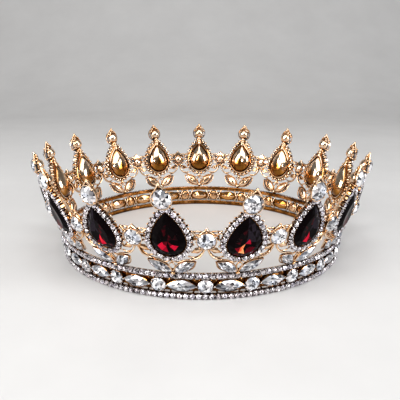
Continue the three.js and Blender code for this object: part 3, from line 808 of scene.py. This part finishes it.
def build_band():
    rng = np.random.default_rng(77)
    shade = np.random.default_rng(78)
    # rails: formed strip with softened edges
    def rail(node, r_in, z0, z1, depth):
        e = 0.22
        sec = [(r_in + e, z0), (r_in + depth, z0), (r_in + depth, z1), (r_in + e, z1), (r_in, z1 - e), (r_in - 0.12, 0.5 * (z0 + z1)), (r_in, z0 + e)]
        s = Soup()
        # painted shade: the rail's outer face, behind the stone chains, gets tone 0.12 and its inner face 0.5, which
        # darkens them through the gold material's painted shade mix
        s.add(*ring_body(sec), OVAL, tone=lambda c, n: 0.12 if (n[0] * c[0] + n[1] * c[1]) > 30 else (0.5 if (n[0] * c[0] + n[1] * c[1]) < -30 else 1.0))
        return s

    R1 = -lo_rail[0][1] / OVAL_Y - 0.8
    R2 = -up_rail[0][1] / OVAL_Y - 0.8
    lo = rail("lower_rail", R1, Z_LO[0], Z_LO[1], 0.8)
    up = rail("upper_rail", R2, Z_UP[0], Z_UP[1], 0.8)
    register(lo.build("lower_rail_strip", [GOLD_RAIL]), "rail_gold", "lower_rail")
    register(up.build("upper_rail_strip", [GOLD_RAIL]), "rail_gold", "upper_rail")

    for which, r_out, z, count, tiltdeg in (("lower", R_LO_OUT, 0.5 * (lo_chain[0][2] + lo_chain[1][2]), 168, 4), ("upper", R_UP_OUT, 0.5 * (up_chain[0][2] + up_chain[1][2]), 170, 6)):
        stones, cups, claws = Soup(), Soup(), Soup()
        rc = r_out - 0.72
        z += 0.12 if which == "upper" else -0.05
        for i in range(count):
            a = 2 * math.pi * i / count
            Mz = OVAL @ Matrix.Rotation(a, 4, "Z") @ Matrix.Translation((0, -rc, z)) @ Matrix.Rotation(math.pi / 2 + math.radians(tiltdeg), 4, "X")
            small_stone(stones, Mz @ tilt_matrix(0, 0, 0.05, rng, 6), 1.19, rng)
            cups.add(*lathe([(0, -1.2), (0.8, -1.15), (1.14, -0.8), (1.22, -0.05), (1.05, 0.0), (0, -0.2)], 10), Mz)
            Mc = OVAL @ Matrix.Rotation(a + math.pi / count, 4, "Z") @ Matrix.Translation((0, -rc, z)) @ Matrix.Rotation(math.pi / 2 + math.radians(tiltdeg), 4, "X")
            for sg in (-1, 1):
                claws.add(*ball(0.30, (0, sg * 0.82, 0.2), (1, 1, 1.2), 6, 4), Mc, smooth=True)
                claws.add(*wire([[0, sg * 0.82, -1.0], [0, sg * 0.82, 0.2]], 0.26, 5), Mc, smooth=True)
        node = f"{which}_rhinestone_chain"
        register(stones.build(f"{which}_chain_stones", [SMALL]), "rhinestone", node)
        register(cups.build(f"{which}_chain_cups", [SILVER]), "setting_gold", node)
        register(claws.build(f"{which}_chain_claws", [SILVER]), "setting_gold", node)

    # middle row
    gold, big, claws = Soup(), Soup(), Soup()
    # painted shade: the strip behind the middle row gets tone 0.04 to 0.12, nearly the full painted shade colour
    gold.add(*ring_body([(66.3, Z_ROW - 2.45), (66.75, Z_ROW - 2.45), (66.75, Z_ROW + 2.45), (66.3, Z_ROW + 2.45), (66.25, Z_ROW)]), OVAL,
             tone=lambda c, n: 0.04 if (n[0] * c[0] + n[1] * c[1]) > 30 else 0.12)
    step = 2 * math.pi / N_PAIRS
    tilt = math.pi / 2 + math.radians(5)
    for i in range(N_PAIRS):
        a = i * step
        M = OVAL @ Matrix.Rotation(a, 4, "Z") @ Matrix.Translation((0, -(R_ROW_OUT - 1.9), Z_ROW)) @ Matrix.Rotation(tilt, 4, "X")
        # painted shade of random strength on the cup behind each round stone
        gold.add(*lathe([(0, -1.5), (0.7, -1.62), (1.5, -1.5), (2.2, -1.28), (2.8, -0.8), (3.05, -0.2), (3.05, 0.55), (3.16, 0.7), (2.95, 0.8), (0, 0.5)], 12), M, shade.uniform(0.42, 0.85))
        round_stone(big, M @ Matrix.Translation((0, 0, 0.72)) @ Matrix.Rotation(rng.uniform(0, 1), 4, "Z"), 3.08, rng, depth=0.85)
        for q in range(4):
            b = math.pi / 4 + q * math.pi / 2
            claws.add(*ball(0.36, (2.98 * math.cos(b), 2.98 * math.sin(b), 0.9), (1, 1, 1.1), 7, 4), M, smooth=True)
        M = OVAL @ Matrix.Rotation(a + step / 2, 4, "Z") @ Matrix.Translation((0, -(R_ROW_OUT - 1.9), Z_ROW)) @ Matrix.Rotation(tilt, 4, "X")
        O = marquise(11.9, 5.35, 44)
        # painted shade on the marquise frame (tone 0.55) and, of random strength, on its back
        gold.add(*collar(O, [(0.0, -0.9), (0.16, -0.8), (0.18, 0.6), (0.08, 0.68), (0.0, 0.55)]), M, 0.55)
        gold.add(*pillow(marquise(11.6, 5.3, 40), (0, 0), [(0.06, -1.9), (0.5, -1.5), (0.86, -1.22), (1.0, -0.8), (0.98, -0.4)]), M, shade.uniform(0.38, 0.8))
        gold.add(*wire([[-4.6, 0, -1.25], [-2.0, 0, -1.75], [2.0, 0, -1.75], [4.6, 0, -1.25]], 0.24, 6), M, smooth=True)
        marquise_stone(big, M @ Matrix.Translation((0, 0, 0.5)), 11.9, 5.4, rng, depth=1.05)
        for sd in (-1, 1):
            claws.add(*ball(0.36, (sd * 5.8, 0, 0.75), (1.2, 1, 1), 7, 4), M, smooth=True)
            # struts between the rails, crossed behind each joint
            Mx = OVAL @ Matrix.Rotation(a + sd * 0.0475, 4, "Z")
            zz0, zz1 = Z_LO[1] - 0.2, Z_UP[0] + 0.2
            gold.add(*wire([[-1.7 * sd, -66.3, zz0], [0, -65.9, Z_ROW], [1.7 * sd, -66.85, zz1]], 0.40, 6), Mx, smooth=True)
            gold.add(*wire([[1.7 * sd, -66.3, zz0], [0, -65.9, Z_ROW], [-1.7 * sd, -66.85, zz1]], 0.40, 6), Mx, smooth=True)
    register(gold.build("band_gallery_settings", [GOLD]), "setting_gold", "band_gallery")
    register(claws.build("band_gallery_claws", [SILVER]), "setting_gold", "band_gallery")
    register(big.build("band_row_crystals", [CLEAR]), "clear_crystal", "band_crystal_row")


for k in range(N_SPIRES):
    build_spire(k)
    build_link(k)
build_band()

# ------------------------------------------------------------------ floor, lights, camera
def floor_material():
    m, nt, b = new_material("pale_floor")
    tc = nt.nodes.new("ShaderNodeTexCoord").outputs["Object"]
    n = noise(nt, 14, 4, 0.6, tc)
    col = ramp(nt, [(0.3, (0.66, 0.655, 0.65)), (0.7, (0.71, 0.705, 0.70))], n)
    nt.links.new(col, b.inputs["Base Color"])
    b.inputs["Roughness"].default_value = 0.42
    b.inputs["Specular IOR Level"].default_value = 0.4
    return m


def sweep():
    """Floor that curves up into a backdrop."""
    prof = [(-1.2, 0.0), (0.55, 0.0)]
    for i in range(1, 13):
        a = i / 12 * math.pi / 2
        prof.append((0.55 + 0.5 * math.sin(a), 0.5 - 0.5 * math.cos(a)))
    prof.append((1.05, 1.6))
    v, f = [], []
    for y, z in prof:
        v += [(-2.2, y, z - 0.00005), (2.2, y, z - 0.00005)]
    for i in range(len(prof) - 1):
        f.append((2 * i, 2 * i + 1, 2 * i + 3, 2 * i + 2))
    me = bpy.data.meshes.new("studio_sweep")
    me.from_pydata(v, [], f)
    for p in me.polygons:
        p.use_smooth = True
    me.materials.append(floor_material())
    ob = bpy.data.objects.new("studio_sweep", me)
    bpy.context.scene.collection.objects.link(ob)
    return ob


sweep()


def area(name, loc, target, size, power, color=(1, 1, 1), size_y=None):
    d = bpy.data.lights.new(name, "AREA")
    d.shape = "RECTANGLE"
    d.size = size
    d.size_y = size_y or size
    d.energy = power
    d.color = color
    o = bpy.data.objects.new(name, d)
    o.location = loc
    o.rotation_euler = (Vector(target) - Vector(loc)).to_track_quat("-Z", "Y").to_euler()
    bpy.context.scene.collection.objects.link(o)
    return o


area("left_softbox", (-0.80, -0.46, 0.36), (0, 0, 0.03), 0.46, 7.0, (1.0, 0.985, 0.965), 0.66)
area("right_softbox", (0.82, -0.42, 0.34), (0, 0, 0.03), 0.42, 6.0, (0.98, 0.99, 1.0), 0.62)
area("top_softbox", (0.0, -0.30, 0.76), (0, 0.02, 0.02), 0.90, 5.6, (1.0, 0.99, 0.98), 0.74)
area("front_softbox", (-0.20, -0.80, 0.42), (0, 0, 0.02), 0.14, 1.3, (1.0, 0.99, 0.97), 0.12)

w = bpy.data.worlds.new("studio")
bpy.context.scene.world = w
w.use_nodes = True
w.node_tree.nodes["Background"].inputs[0].default_value = (0.55, 0.56, 0.58, 1)
w.node_tree.nodes["Background"].inputs[1].default_value = 0.26
bpy.context.scene.view_settings.view_transform = "Standard"

cam = bpy.data.cameras.new("camera")
cam.lens = 44.1
cam.sensor_width = 36
cam.shift_x = -0.00425
cam.shift_y = 0.00975
cam.clip_start = 0.005
co = bpy.data.objects.new("camera", cam)
loc = Vector((-0.00592, -0.24198, 0.09175))
aim = Vector((0, 0, 0.01955))
co.location = loc
q = (aim - loc).to_track_quat("-Z", "Y")
co.rotation_euler = (q.to_matrix() @ Matrix.Rotation(math.radians(0.29), 3, "Z")).to_euler()
bpy.context.scene.collection.objects.link(co)
bpy.context.scene.camera = co
